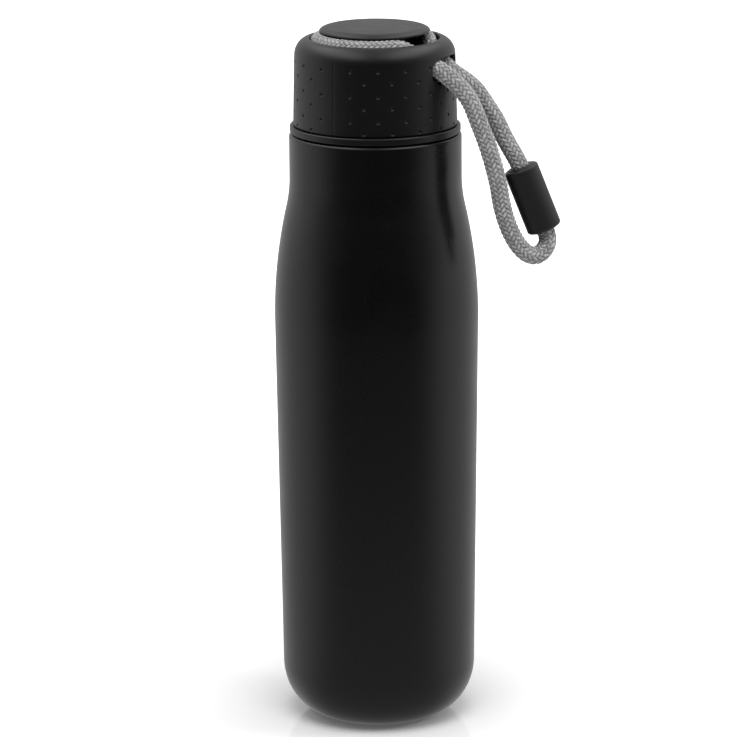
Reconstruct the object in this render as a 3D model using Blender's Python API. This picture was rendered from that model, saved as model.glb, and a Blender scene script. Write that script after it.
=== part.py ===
"""A vacuum flask: a double-walled steel bottle, a screw stopper and a braided carrying cord.

The lengths below are in millimetres and the angles in degrees; the helpers turn them into metres
and radians. The flask stands on z = 0 with its axis on +Z, and the cord hangs out on the +X side.
Touching pieces keep GAP between them.
"""
import math

import bmesh
import bpy
from mathutils import Vector

MM = 0.001
GAP = 0.3
STEPS = 36

# Outer shell: a slightly tapered tube, a long convex shoulder and a short concave neck.
FOOT_R = 17.6
FOOT_HOLE_R = 15.8
BASE_R = 34.55
BASE_ROUND_Z = 19.5
BELLY_R = 36.28
BELLY_Z = 147.0
SHOULDER_R = 178.0
SHOULDER_END_Z = 187.0
NECK_CURVE_R = 47.0
LIP_Z = 213.3
LIP_ROUND = 1.3
LIP_HOLE_R = 28.6
WALL = 0.5

# Bottom of the bottle.
BOTTOM_HOLE_R = 1.5
BOTTOM_Z = 2.6
BOTTOM_WALL = 0.5
COVER_Z = 0.9
COVER_TOP_Z = 2.1
BEAD_TOP_Z = 4.3
GETTER_R = 4.6

# Liner and what lies in the vacuum between the walls.
LINER_INSET = 2.9
LINER_WALL = 0.45
LINER_SPLIT_Z = 14.0
LINER_FLOOR_Z = 6.0
FOIL_INSET = 1.9
FOIL_WALL = 0.25
FOIL_FROM_Z = 30.0
FOIL_TO_Z = 178.0
NECK_R = 26.8
SEAT_R = 25.4
SEAT_Z = 188.4
CUP_BEND_R = 8.0

# Two-start thread.
THREAD_LEAD = 8.0
THREAD_STARTS = 2
THREAD_TURNS = 0.9
THREAD_Z = 198.0
THREAD_ROOT_WIDTH = 1.8
THREAD_CREST_WIDTH = 1.0
NECK_THREAD_R = 25.6
PLUG_THREAD_R = 26.3

# Stopper.
PLUG_R = 25.1
PLUG_BORE_R = 23.3
PLUG_BOTTOM_Z = 190.8
FLANGE_R = 30.2
FLANGE_Z = 213.7
FLANGE_TOP_Z = 216.2
COLLAR_R = 26.3
COLLAR_TOP_Z = 222.0
SEAL_R = 25.0
STOPPER_FLOOR_Z = 184.5
STOPPER_WALL = 1.5
SPIGOT_TOP_Z = 195.0
FOAM_TOP_Z = 221.0

# Lid shell, its cord channel and the disc on top.
LID_FOOT_R = 29.0
LID_FOOT_Z = 216.5
LID_TOP_R = 28.4
LID_WALL = 2.1
LID_ROUND_Z = 240.9
RIM_R = 22.9
RIM_Z = 247.0
CHANNEL_Z = 242.1
LID_CEILING_Z = 241.1
HUB_R = 12.0
HUB_Z = 248.1
HUB_BORE_R = 4.3
HUB_PLATE_Z = 246.5
HUB_WALL = 1.8
DISC_R = 19.55
DISC_TOP_R = 16.2
DISC_UNDER_R = 17.5
DISC_UNDER_Z = 248.4
DISC_EDGE_Z = 249.3
TOP_Z = 250.9
STEM_Z = 243.6
BARB_R = 5.0

# Slot that lets the cord out of the lid, and the pocket behind it, as angles about +Z from +X.
SLOT_FROM = -46.5
SLOT_TO = -3.5
SLOT_Z = 232.2
SLOT_TOP_Z = 241.7
SLOT_INNER_TOP_Z = 243.6
POCKET_R = 15.6
POCKET_FROM = -66.0
POCKET_TO = 19.0
POCKET_WALL = 1.6

# Cord and its connector.
CORD_R = 3.2
CORD_SPACING = 6.5
CHANNEL_CORD_R = 19.4
CHANNEL_CORD_Z = 245.6
CONNECTOR_R = 6.2
CONNECTOR_BORE_R = 3.55
CONNECTOR_LENGTH = 24.4
CONNECTOR_ROUND = 1.2
CONNECTOR_CENTRE = Vector((55.05, -13.0, 191.6))
CONNECTOR_AXIS = Vector((0.364, 0.0, -0.931)).normalized()
FRONT_HINGE = Vector((26.9, -17.8, 234.5))
REAR_HINGE = Vector((30.6, -9.8, 233.7))

# Routes of the two hanging strands, from the slot to the connector, as (x, y, z).
FRONT_ROUTE = (
    (28.4, -18.35, 233.3), (30.3, -18.9, 231.2), (33.0, -19.6, 227.5), (35.9, -20.3, 220.4),
    (38.9, -20.5, 212.4), (41.2, -20.5, 204.7), (42.9, -20.2, 197.4), (44.1, -19.7, 190.4),
    (46.1, -19.1, 183.4), (49.3, -18.3, 176.7), (53.2, -17.4, 172.4), (56.2, -16.5, 171.6),
    (59.0, -15.2, 173.3), (60.4, -14.0, 176.2),
)
REAR_ROUTE = (
    (32.2, -10.0, 232.6), (35.3, -10.8, 229.8), (39.1, -11.5, 224.3), (42.3, -12.1, 219.2),
    (45.2, -12.6, 213.1), (47.7, -12.9, 208.6),
)
# The same cord between the slot and the channel, as (angle, r, z) from the slot inward.
FRONT_DESCENT = ((-38.5, 24.9, 239.4), (-44.0, 21.5, 241.1), (-53.5, 19.1, 244.1))
REAR_DESCENT = ((-15.5, 24.9, 238.6), (-9.0, 21.4, 240.9), (1.0, 19.1, 243.9))


# ------------------------------------------------------------------------------ helpers

def arc(centre, radii, start, end, count):
    """Points of an elliptic arc as (r, z), with start and end in degrees from the r direction."""
    angles = [math.radians(start + (end - start) * i / count) for i in range(count + 1)]
    return [(centre[0] + radii[0] * math.cos(a), centre[1] + radii[1] * math.sin(a)) for a in angles]


def material(name, colour, roughness, metallic=0.0):
    """Plain Principled material."""
    made = bpy.data.materials.new(name)
    made.use_nodes = True
    shader = made.node_tree.nodes["Principled BSDF"]
    shader.inputs["Base Color"].default_value = (*colour, 1.0)
    shader.inputs["Roughness"].default_value = roughness
    shader.inputs["Metallic"].default_value = metallic
    return made


def mesh_object(name, points, faces, finish=None):
    """Closed mesh object from points in millimetres, with its faces turned outward."""
    shape = bmesh.new()
    corners = [shape.verts.new((x * MM, y * MM, z * MM)) for x, y, z in points]
    for face in faces:
        shape.faces.new([corners[i] for i in face])
    bmesh.ops.recalc_face_normals(shape, faces=shape.faces)
    mesh = bpy.data.meshes.new(name)
    shape.to_mesh(mesh)
    shape.free()
    if finish:
        mesh.materials.append(finish)
    mesh.shade_smooth()
    mesh.set_sharp_from_angle(angle=math.radians(30))
    made = bpy.data.objects.new(name, mesh)
    bpy.context.collection.objects.link(made)
    return made


def turned(name, profile, finish, steps=STEPS):
    """Solid of revolution about +Z from a closed (r, z) outline; r = 0 makes a pole."""
    points = []
    rings = []
    for r, z in profile:
        if r == 0:
            rings.append([len(points)] * steps)
            points.append((0.0, 0.0, z))
            continue
        rings.append(list(range(len(points), len(points) + steps)))
        for i in range(steps):
            angle = 2 * math.pi * i / steps
            points.append((r * math.cos(angle), r * math.sin(angle), z))
    faces = []
    for lower, upper in zip(rings, rings[1:] + rings[:1]):
        for i in range(steps):
            j = (i + 1) % steps
            face = list(dict.fromkeys((lower[i], lower[j], upper[j], upper[i])))
            if len(face) > 2:
                faces.append(face)
    return mesh_object(name, points, faces, finish)


def swept_sector(name, outline, start, end, step=6.0):
    """Closed (r, z) outline swept about +Z from one angle to another, with flat ends."""
    count = max(1, round((end - start) / step))
    size = len(outline)
    points = []
    for i in range(count + 1):
        angle = math.radians(start + (end - start) * i / count)
        points += [(r * math.cos(angle), r * math.sin(angle), z) for r, z in outline]
    faces = [list(range(size)), [count * size + k for k in range(size)]]
    for i in range(count):
        for k in range(size):
            n = (k + 1) % size
            faces.append([i * size + k, i * size + n, (i + 1) * size + n, (i + 1) * size + k])
    return mesh_object(name, points, faces)


def thread_ridge(name, root_r, crest_r, middle_z, start):
    """One start of a right-hand thread: a trapezoid carried up a helix, fading in and out."""
    count = round(STEPS * THREAD_TURNS)
    points = []
    for i in range(count + 1):
        turn = i / STEPS
        angle = math.radians(start) + 2 * math.pi * turn
        height = middle_z + THREAD_LEAD * turn
        fade = min(1.0, (i + 0.4) / 3, (count - i + 0.4) / 3)
        crest = root_r + (crest_r - root_r) * fade
        for r, half in ((root_r, -THREAD_ROOT_WIDTH), (crest, -THREAD_CREST_WIDTH),
                        (crest, THREAD_CREST_WIDTH), (root_r, THREAD_ROOT_WIDTH)):
            points.append((r * math.cos(angle), r * math.sin(angle), height + half / 2))
    faces = [[0, 1, 2, 3], [4 * count + k for k in range(4)]]
    for i in range(count):
        for k in range(4):
            n = (k + 1) % 4
            faces.append([4 * i + k, 4 * i + n, 4 * i + 4 + n, 4 * i + 4 + k])
    return mesh_object(name, points, faces)


def combine(target, tool, operation):
    """Boolean modifier on target; the tool stays in the file as a hidden guide."""
    tool.hide_render = True
    tool.display_type = "WIRE"
    modifier = target.modifiers.new(tool.name, "BOOLEAN")
    modifier.operation = operation
    modifier.solver = "EXACT"
    modifier.object = tool


def smooth_line(route, spacing):
    """Points at an even spacing on the centripetal Catmull-Rom curve through a route."""
    ends = [route[0] * 2 - route[1]] + list(route) + [route[-1] * 2 - route[-2]]
    fine = [route[0].copy()]
    for a, b, c, d in zip(ends, ends[1:], ends[2:], ends[3:]):
        t1 = (b - a).length ** 0.5
        t2 = t1 + (c - b).length ** 0.5
        t3 = t2 + (d - c).length ** 0.5
        for i in range(1, 13):
            t = t1 + (t2 - t1) * i / 12
            p = a.lerp(b, t / t1)
            q = b.lerp(c, (t - t1) / (t2 - t1))
            r = c.lerp(d, (t - t2) / (t3 - t2))
            fine.append(p.lerp(q, t / t2).lerp(q.lerp(r, (t - t1) / (t3 - t1)), (t - t1) / (t2 - t1)))
    lengths = [0.0]
    for p, q in zip(fine, fine[1:]):
        lengths.append(lengths[-1] + (q - p).length)
    count = max(2, round(lengths[-1] / spacing))
    line = []
    k = 0
    for i in range(count + 1):
        goal = lengths[-1] * i / count
        while k < len(fine) - 2 and lengths[k + 1] < goal:
            k += 1
        line.append(fine[k].lerp(fine[k + 1], (goal - lengths[k]) / (lengths[k + 1] - lengths[k])))
    return line


def cord_tube(name, line, finish, radii=None):
    """Round cord along a line of points, as a curve with a bevel and filled ends."""
    curve = bpy.data.curves.new(name, "CURVE")
    curve.dimensions = "3D"
    curve.bevel_depth = CORD_R * MM
    curve.bevel_resolution = 2
    curve.use_fill_caps = True
    spline = curve.splines.new("POLY")
    spline.points.add(len(line) - 1)
    for i, place in enumerate(line):
        spline.points[i].co = (*(place * MM), 1.0)
        spline.points[i].radius = radii[i] if radii else 1.0
    curve.materials.append(finish)
    made = bpy.data.objects.new(name, curve)
    bpy.context.collection.objects.link(made)
    return made


# ------------------------------------------------------------------------------ steel bottle

def shell_outline(inset, low_z, high_z, count=6):
    """The shell's outer line from low_z to high_z as (r, z), moved inward by inset."""
    slope = (BELLY_R - BASE_R) / (BELLY_Z - BASE_ROUND_Z)

    def radius(z):
        if z <= BELLY_Z:
            return BASE_R + slope * (z - BASE_ROUND_Z)
        drop = SHOULDER_R - math.sqrt(SHOULDER_R ** 2 - (min(z, SHOULDER_END_Z) - BELLY_Z) ** 2)
        if z <= SHOULDER_END_Z:
            return BELLY_R - drop
        tilt = math.asin((SHOULDER_END_Z - BELLY_Z) / SHOULDER_R)
        end = SHOULDER_END_Z + NECK_CURVE_R * math.sin(tilt)
        lift = NECK_CURVE_R - math.sqrt(NECK_CURVE_R ** 2 - (end - min(z, end)) ** 2)
        return BELLY_R - drop - NECK_CURVE_R * (1 - math.cos(tilt)) + lift

    stations = [low_z, BELLY_Z]
    stations += [BELLY_Z + (SHOULDER_END_Z - BELLY_Z) * (i + 1) / count for i in range(count)]
    stations += [SHOULDER_END_Z + 3.5, SHOULDER_END_Z + 7.0, SHOULDER_END_Z + 10.6]
    stations = [z for z in stations if z < high_z] + [high_z]
    return [(radius(z) - inset, z) for z in stations]


def make_outer_shell(paint):
    """Steel tube with a necked top, a rolled lip and a rounded bottom that ends in a foot ring."""
    bottom = arc((FOOT_R, BASE_ROUND_Z), (BASE_R - FOOT_R, BASE_ROUND_Z), -90, 0, 7)
    side = shell_outline(0.0, BASE_ROUND_Z, LIP_Z - LIP_ROUND)[1:]
    lip_r = side[-1][0]
    lip = arc((lip_r - LIP_ROUND, LIP_Z - LIP_ROUND), (LIP_ROUND, LIP_ROUND), 30, 90, 2)
    lip += [(LIP_HOLE_R, LIP_Z), (LIP_HOLE_R, LIP_Z - WALL), (lip_r - LIP_ROUND, LIP_Z - WALL)]
    inside = shell_outline(WALL, BASE_ROUND_Z, LIP_Z - LIP_ROUND)[::-1]
    inner_bottom = arc((FOOT_R, BASE_ROUND_Z), (BASE_R - WALL - FOOT_R, BASE_ROUND_Z - WALL), 0, -90, 7)
    foot = [(FOOT_HOLE_R + WALL, WALL), (FOOT_HOLE_R + WALL, 4.0), (FOOT_HOLE_R, 4.0), (FOOT_HOLE_R, 0.0)]
    return turned("outer_shell", bottom + side + lip + inside + inner_bottom[1:] + foot, paint)


def make_base(paint, steel):
    """Pressed bottom with the evacuation hole, and the thin painted disc that covers it."""
    rim_r = FOOT_HOLE_R - GAP
    top = BOTTOM_Z + BOTTOM_WALL
    turned("outer_base", [(BOTTOM_HOLE_R, BOTTOM_Z), (9.0, BOTTOM_Z), (11.0, BOTTOM_Z + 0.4),
                          (rim_r, BOTTOM_Z + 0.4), (rim_r, top + 0.4), (11.0, top + 0.4), (9.0, top),
                          (BOTTOM_HOLE_R, top)], steel)
    turned("base_cover", [(0, COVER_Z + 0.3), (12.5, COVER_Z + 0.3), (13.3, COVER_Z), (rim_r, COVER_Z),
                          (rim_r, COVER_TOP_Z), (14.7, COVER_TOP_Z), (14.7, COVER_Z + 0.6),
                          (0, COVER_Z + 0.8)], paint)


def make_vacuum_parts(glass, getter_metal, foil):
    """Glass bead that seals the evacuation hole, the getter, and the foil round the liner."""
    neck_r = BOTTOM_HOLE_R - GAP - 0.1
    over = BOTTOM_Z + BOTTOM_WALL + GAP
    turned("vacuum_seal", [(0, BOTTOM_Z - 0.3), (neck_r, BOTTOM_Z - 0.2), (neck_r, over),
                           (2 * neck_r + 0.2, over + 0.1), (1.8, BEAD_TOP_Z - 0.2), (0, BEAD_TOP_Z)],
           glass, 12)
    getter_top = LINER_FLOOR_Z - GAP
    turned("getter", [(0, BEAD_TOP_Z + 0.5), (GETTER_R - 0.4, BEAD_TOP_Z + 0.5),
                      (GETTER_R, BEAD_TOP_Z + 0.8), (GETTER_R, getter_top), (0, getter_top)],
           getter_metal, 18)
    outside = shell_outline(FOIL_INSET, FOIL_FROM_Z, FOIL_TO_Z, 3)
    inside = shell_outline(FOIL_INSET + FOIL_WALL, FOIL_FROM_Z, FOIL_TO_Z, 3)
    turned("radiation_foil", outside + inside[::-1], foil)


def make_liner(steel):
    """Steel liner with a rolled seat and a threaded neck, and the cup welded to its lower end."""
    outer_r = NECK_R + LINER_WALL
    side = shell_outline(LINER_INSET, LINER_SPLIT_Z, 183.0)
    seat = [(27.6, 185.6), (SEAT_R + LINER_WALL, SEAT_Z - 1.2), (SEAT_R + LINER_WALL, SEAT_Z + 1.0)]
    neck = [(outer_r, SEAT_Z + 3.0), (outer_r, LIP_Z - 1.4), (LIP_HOLE_R - GAP, LIP_Z - 0.8)]
    mouth = [(LIP_HOLE_R - GAP, LIP_Z - 0.2), (NECK_R, LIP_Z - 1.3), (NECK_R, SEAT_Z + 3.0)]
    inner_seat = [(SEAT_R, SEAT_Z + 1.0), (SEAT_R, SEAT_Z - 1.2), (27.2, 185.2)]
    inside = shell_outline(LINER_INSET + LINER_WALL, LINER_SPLIT_Z, 183.0)[::-1]
    liner = turned("inner_liner", side + seat + neck + mouth + inner_seat + inside, steel)
    for start in range(THREAD_STARTS):
        angle = 360 * start / THREAD_STARTS
        ridge = thread_ridge(f"neck_thread_{start + 1}", NECK_R + 0.2, NECK_THREAD_R, THREAD_Z, angle)
        combine(liner, ridge, "UNION")
    rim_r = side[0][0]
    edge = LINER_SPLIT_Z - GAP
    centre = (rim_r - CUP_BEND_R, LINER_FLOOR_Z + CUP_BEND_R)
    inside_bend = CUP_BEND_R - LINER_WALL
    below = arc(centre, (CUP_BEND_R, CUP_BEND_R), -90, -12, 4)
    above = arc(centre, (inside_bend, inside_bend), -12, -90, 4)
    cup = [(0, LINER_FLOOR_Z)] + below + [(rim_r, edge), (rim_r - LINER_WALL, edge)] + above
    turned("liner_bottom", cup + [(0, LINER_FLOOR_Z + LINER_WALL)], steel)


# ------------------------------------------------------------------------------ stopper

def make_stopper(plastic, foam, rubber):
    """Threaded plug with its flange, the foam in it, its bottom and the silicone ring."""
    body = [(PLUG_R, PLUG_BOTTOM_Z), (PLUG_R, FLANGE_Z - 0.6), (PLUG_R + 0.6, FLANGE_Z),
            (FLANGE_R - 0.5, FLANGE_Z), (FLANGE_R, FLANGE_Z + 0.5), (FLANGE_R, FLANGE_TOP_Z - 0.6),
            (FLANGE_R - 0.6, FLANGE_TOP_Z), (COLLAR_R, FLANGE_TOP_Z), (COLLAR_R, COLLAR_TOP_Z),
            (PLUG_BORE_R, COLLAR_TOP_Z), (PLUG_BORE_R, PLUG_BOTTOM_Z)]
    stopper = turned("stopper_body", body, plastic)
    pitch = THREAD_LEAD / THREAD_STARTS
    for start in range(THREAD_STARTS):
        angle = 360 * start / THREAD_STARTS
        ridge = thread_ridge(f"plug_thread_{start + 1}", PLUG_R - 0.2, PLUG_THREAD_R,
                             THREAD_Z + pitch / 2, angle)
        combine(stopper, ridge, "UNION")
    spigot_r = PLUG_BORE_R - 0.4
    hollow_r = spigot_r - STOPPER_WALL
    under = STOPPER_FLOOR_Z
    over = under + STOPPER_WALL
    turned("stopper_base", [(0, under), (SEAL_R - 1.4, under), (SEAL_R - 0.6, under + 0.6),
                            (SEAL_R - 0.6, over), (spigot_r, over), (spigot_r, SPIGOT_TOP_Z),
                            (hollow_r, SPIGOT_TOP_Z), (hollow_r, over), (0, over)], plastic)
    step = SPIGOT_TOP_Z + GAP
    turned("stopper_foam", [(0, over + GAP), (hollow_r - GAP, over + GAP), (hollow_r - GAP, step),
                            (spigot_r, step), (spigot_r, FOAM_TOP_Z), (0, FOAM_TOP_Z)], foam, 24)
    low = over + GAP
    high = PLUG_BOTTOM_Z - GAP
    middle = (low + high) / 2
    inner = spigot_r + GAP
    turned("seal_ring", [(inner, low), (SEAL_R - 0.8, low), (SEAL_R, low + 0.9), (SEAL_R - 0.5, middle),
                         (SEAL_R, high - 0.9), (SEAL_R - 0.8, high), (inner, high)], rubber)


# ------------------------------------------------------------------------------ lid

def make_lid_shell(plastic):
    """Drawn-in cap with a channel for the cord round a hub, and a slot where the cord comes out."""
    round_z = RIM_Z - LID_ROUND_Z
    inner_r = LID_FOOT_R - LID_WALL
    ceiling_r = LID_TOP_R - LID_WALL
    outside = [(LID_FOOT_R, LID_FOOT_Z)]
    outside += arc((RIM_R + 0.4, LID_ROUND_Z), (LID_TOP_R - RIM_R - 0.4, round_z), 0, 90, 6)
    channel = [(RIM_R, RIM_Z - 0.5), (RIM_R, CHANNEL_Z), (HUB_R, CHANNEL_Z), (HUB_R, HUB_Z)]
    hub_in = HUB_R - HUB_WALL
    bore = [(HUB_BORE_R, HUB_Z), (HUB_BORE_R, HUB_PLATE_Z), (hub_in, HUB_PLATE_Z), (hub_in, LID_CEILING_Z)]
    inside = [(ceiling_r - 1.0, LID_CEILING_Z), (ceiling_r, LID_CEILING_Z - 1.5), (inner_r, LID_FOOT_Z)]
    shell = turned("lid_shell", outside + channel + bore + inside, plastic)

    # The pocket is a box under the channel's floor; its top runs in under the rim.
    block_r = POCKET_R - POCKET_WALL
    block_z = SLOT_Z - POCKET_WALL
    block = [(block_r, block_z), (ceiling_r + 1.0, block_z), (ceiling_r + 1.0, LID_CEILING_Z - 0.6),
             (ceiling_r - 1.0, LID_CEILING_Z + 0.8), (block_r, LID_CEILING_Z + 0.8)]
    combine(shell, swept_sector("pocket_block", block, POCKET_FROM - 3, POCKET_TO + 3), "UNION")
    back_r = ceiling_r - 0.4
    under_rim_r = RIM_R - 0.2
    open_z = CHANNEL_Z + 0.4
    pocket = [(POCKET_R, SLOT_Z), (back_r, SLOT_Z), (back_r, SLOT_INNER_TOP_Z - 0.4),
              (back_r - 1.3, SLOT_INNER_TOP_Z + 0.6), (under_rim_r, SLOT_INNER_TOP_Z + 1.0),
              (under_rim_r, open_z), (POCKET_R, open_z)]
    combine(shell, swept_sector("pocket_space", pocket, POCKET_FROM, POCKET_TO), "DIFFERENCE")
    outside_r = LID_FOOT_R + 2.0
    slot = [(ceiling_r - 1.0, SLOT_Z), (outside_r, SLOT_Z), (outside_r, SLOT_TOP_Z),
            (LID_TOP_R, SLOT_TOP_Z), (ceiling_r, SLOT_INNER_TOP_Z), (ceiling_r - 1.0, SLOT_INNER_TOP_Z)]
    combine(shell, swept_sector("slot_space", slot, SLOT_FROM, SLOT_TO), "DIFFERENCE")


def make_top_disc(plastic):
    """Disc that keeps the cord in its channel, with a barbed stem that snaps into the hub."""
    stem_r = HUB_BORE_R - GAP
    under = HUB_PLATE_Z - GAP
    edge = arc((DISC_TOP_R, DISC_EDGE_Z), (DISC_R - DISC_TOP_R, TOP_Z - DISC_EDGE_Z), 0, 90, 3)
    turned("top_disc", [(0, STEM_Z), (3.6, STEM_Z), (BARB_R, STEM_Z + 1.4), (BARB_R, under), (stem_r, under),
                        (stem_r, DISC_UNDER_Z), (DISC_UNDER_R, DISC_UNDER_Z)] + edge + [(0, TOP_Z)], plastic)


# ------------------------------------------------------------------------------ cord

def polar(angle, r, z):
    """Point at an angle about +Z."""
    return Vector((r * math.cos(math.radians(angle)), r * math.sin(math.radians(angle)), z))


def hinge_end(line, along):
    """Put a round end, centred on the line's first point, behind it; gives the points and radii."""
    backs = (0.96, 0.8, 0.45)
    cap = [line[0] - along * CORD_R * back for back in backs]
    radii = [math.sqrt(1 - back ** 2) for back in backs]
    return cap + line, radii + [1.0] * len(line)


def make_cord(braid, plastic):
    """One cord: its turn in the lid's channel, its two hanging strands and the connector."""
    # Both strands run straight along the connector's axis where they are inside it.
    half = CONNECTOR_LENGTH / 2
    depths = (half + 1.5, half - 3.0, half - 7.0, GAP)
    front = [FRONT_HINGE]
    front += [Vector(place) for place in FRONT_ROUTE]
    front += [CONNECTOR_CENTRE + CONNECTOR_AXIS * depth for depth in depths]
    rear = [REAR_HINGE]
    rear += [Vector(place) for place in REAR_ROUTE]
    rear += [CONNECTOR_CENTRE - CONNECTOR_AXIS * depth for depth in depths]
    # The channel turn ends flat, just behind the round ends, in line with the strands.
    reach = CORD_R + 0.4
    ends = []
    for name, route in (("cord_front_strand", front), ("cord_rear_strand", rear)):
        line = smooth_line(route, CORD_SPACING)
        along = (route[1] - route[0]).normalized()
        points, radii = hinge_end(line, along)
        cord_tube(name, points, braid, radii)
        ends.append([line[0] - along * back for back in (reach, reach + 1.5)])

    turn = [polar(angle, CHANNEL_CORD_R, CHANNEL_CORD_Z) for angle in range(-66, -350, -15)]
    down = [polar(angle, r, z) for angle, r, z in FRONT_DESCENT]
    up = [polar(angle, r, z) for angle, r, z in REAR_DESCENT]
    wrap = ends[0] + down + turn + up[::-1] + ends[1][::-1]
    cord_tube("cord_wrap", smooth_line(wrap, CORD_SPACING * 2 / 3), braid)

    barrel = turned("cord_connector", [(CONNECTOR_BORE_R, -half), (CONNECTOR_R - CONNECTOR_ROUND, -half)]
                    + arc((CONNECTOR_R - CONNECTOR_ROUND, -half + CONNECTOR_ROUND),
                          (CONNECTOR_ROUND, CONNECTOR_ROUND), -45, 0, 1)
                    + arc((CONNECTOR_R - CONNECTOR_ROUND, half - CONNECTOR_ROUND),
                          (CONNECTOR_ROUND, CONNECTOR_ROUND), 0, 45, 1)
                    + [(CONNECTOR_R - CONNECTOR_ROUND, half), (CONNECTOR_BORE_R, half)], plastic, 20)
    barrel.location = CONNECTOR_CENTRE * MM
    barrel.rotation_mode = "QUATERNION"
    barrel.rotation_quaternion = CONNECTOR_AXIS.to_track_quat("Z", "Y")


for old in list(bpy.data.objects):
    bpy.data.objects.remove(old, do_unlink=True)

black_paint = material("black_powder_coat", (0.012, 0.012, 0.012), 0.38)
black_plastic = material("black_plastic", (0.02, 0.02, 0.02), 0.5)
bare_steel = material("brushed_steel", (0.62, 0.62, 0.60), 0.3, 1.0)

make_outer_shell(black_paint)
make_base(black_paint, bare_steel)
make_vacuum_parts(material("sealing_glass", (0.25, 0.28, 0.25), 0.2),
                  material("getter_alloy", (0.30, 0.29, 0.28), 0.6, 1.0),
                  material("foil", (0.80, 0.80, 0.80), 0.2, 1.0))
make_liner(bare_steel)
make_stopper(black_plastic, material("foam", (0.85, 0.85, 0.82), 0.9),
             material("silicone", (0.75, 0.75, 0.73), 0.6))
make_lid_shell(black_plastic)
make_top_disc(black_plastic)
make_cord(material("grey_braid", (0.22, 0.22, 0.22), 0.9), black_plastic)
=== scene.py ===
"""A slim black vacuum flask: steel bottle, screw stopper, dimpled lid and a braided carrying cord.

Lengths are in millimetres and angles in degrees, and become metres and radians where a mesh is made.
The bottle stands on z = 0 with its axis on +Z. The cord hangs out of the lid on the +X side.
"""
import math

import bmesh
import bpy
import numpy as np
from mathutils import Matrix, Vector


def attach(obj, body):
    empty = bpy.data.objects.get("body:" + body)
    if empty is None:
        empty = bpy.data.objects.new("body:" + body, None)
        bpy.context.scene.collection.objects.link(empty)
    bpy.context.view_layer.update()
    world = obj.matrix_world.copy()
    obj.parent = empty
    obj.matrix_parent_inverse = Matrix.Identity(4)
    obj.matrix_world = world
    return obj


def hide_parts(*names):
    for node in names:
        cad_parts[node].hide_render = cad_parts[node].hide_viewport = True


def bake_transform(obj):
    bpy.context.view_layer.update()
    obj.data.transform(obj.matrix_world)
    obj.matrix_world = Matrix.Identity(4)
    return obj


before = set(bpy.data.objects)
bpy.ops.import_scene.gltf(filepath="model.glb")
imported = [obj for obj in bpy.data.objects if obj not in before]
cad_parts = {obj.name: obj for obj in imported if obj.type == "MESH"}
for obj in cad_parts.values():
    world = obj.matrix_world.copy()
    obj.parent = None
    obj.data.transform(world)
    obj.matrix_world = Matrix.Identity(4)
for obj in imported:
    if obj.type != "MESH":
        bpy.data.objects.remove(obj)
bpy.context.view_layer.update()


# ------------------------------------------------------------------ outer shell of the bottle
# A drawn and tapered stainless tube with a necked top, a lip folded in over the liner and a
# rounded bottom that ends in a foot ring. Its outside has a satin black powder coat.

MM = 0.001
COLUMNS = 256
FOOT_R = 17.6
FOOT_HOLE_R = 15.8
FOOT_RING_Z = 4.0
BASE_R = 34.55
BASE_ROUND_Z = 19.5
BELLY_R = 36.28
BELLY_Z = 147.0
SHOULDER_R = 178.0
SHOULDER_END_Z = 187.0
NECK_CURVE_R = 47.0
LIP_Z = 213.3
LIP_ROUND = 1.3
LIP_HOLE_R = 28.6
WALL = 0.5


def bottle_radius(z):
    """Outer radius at height z: a straight taper, a convex arc, then a concave arc into the neck."""
    taper = BASE_R + (BELLY_R - BASE_R) * (z - BASE_ROUND_Z) / (BELLY_Z - BASE_ROUND_Z)
    rise = np.clip(z, BELLY_Z, SHOULDER_END_Z) - BELLY_Z
    drop = SHOULDER_R - np.sqrt(SHOULDER_R ** 2 - rise ** 2)
    tilt = math.asin((SHOULDER_END_Z - BELLY_Z) / SHOULDER_R)
    end_z = SHOULDER_END_Z + NECK_CURVE_R * math.sin(tilt)
    left = end_z - np.clip(z, SHOULDER_END_Z, end_z)
    lift = NECK_CURVE_R * math.cos(tilt) - np.sqrt(NECK_CURVE_R ** 2 - left ** 2)
    return np.where(z <= BELLY_Z, taper, BELLY_R - drop + lift)


def bottle_line(inset, low, high, count):
    """The shell's outer line between two heights, moved inward by inset, as rows of (r, z)."""
    z = np.linspace(low, high, count)
    return np.stack((bottle_radius(z) - inset, z), axis=1)


def arc(centre, radii, start, end, steps):
    """Rows of (r, z) on an elliptic arc, with the angles in degrees from the r direction."""
    turn = np.radians(np.linspace(start, end, steps + 1))
    return np.stack((centre[0] + radii[0] * np.cos(turn), centre[1] + radii[1] * np.sin(turn)), axis=1)


def rounded(corners, steps=6, keep=0.08):
    """Closed outline through corners (a, b, fillet).

    Each fillet is an arc tangent to both sides of its corner, and each side keeps a point just past
    the arc, so that smooth shading stays flat along the side. A fillet of 0 leaves the corner as it is.
    """
    spots = np.array([corner[:2] for corner in corners], float)
    line = []
    for i, (a, b, fillet) in enumerate(corners):
        here = spots[i]
        if fillet == 0:
            line.append(here[None, :])
            continue
        back = spots[i - 1] - here
        ahead = spots[(i + 1) % len(spots)] - here
        back = back / np.linalg.norm(back)
        ahead = ahead / np.linalg.norm(ahead)
        half = 0.5 * math.acos(float(np.clip(back @ ahead, -1, 1)))
        middle = here + (back + ahead) / np.linalg.norm(back + ahead) * fillet / math.sin(half)
        reach = fillet / math.tan(half)
        first = here + back * reach - middle
        last = here + ahead * reach - middle
        begin = math.atan2(first[1], first[0])
        sweep = (math.atan2(last[1], last[0]) - begin + math.pi) % (2 * math.pi) - math.pi
        turn = begin + sweep * np.linspace(0, 1, steps + 1)
        bend = middle + fillet * np.stack((np.cos(turn), np.sin(turn)), axis=1)
        before = (here + back * (reach + keep))[None, :]
        after = (here + ahead * (reach + keep))[None, :]
        line += [before, bend, after]
    return np.concatenate(line)


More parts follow.
